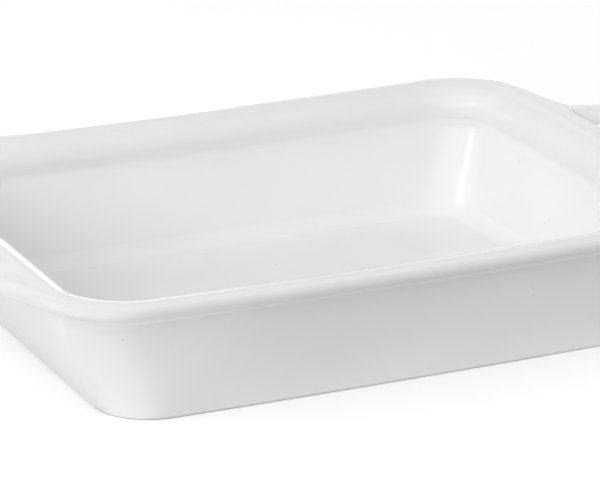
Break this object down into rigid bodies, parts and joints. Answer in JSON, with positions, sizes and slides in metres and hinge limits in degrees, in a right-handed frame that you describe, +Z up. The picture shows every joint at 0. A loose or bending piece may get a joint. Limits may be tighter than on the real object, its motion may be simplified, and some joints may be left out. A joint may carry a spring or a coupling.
{
  "type": "tapas dish",
  "caption": "Rectangular white glazed ceramic dish with sloping walls, a rolled overhanging rim, a bare foot ring and an open loop handle at each end, for baking and serving.",
  "frame": {"origin": "on the table, under the middle of the dish", "axes": "+X along the length from handle to handle, +Y across the width, +Z up out of the dish"},
  "size_m": [0.25, 0.1576, 0.0397],
  "materials": {
    "glaze": "glossy white glaze over white stoneware",
    "bare_clay": "matte unglazed fired clay"
  },
  "bodies": {
    "root": {"foot_ring": "bare_clay", "tub": "glaze", "rim": "glaze", "left_handle": "glaze", "right_handle": "glaze"}
  },
  "joints": []
}
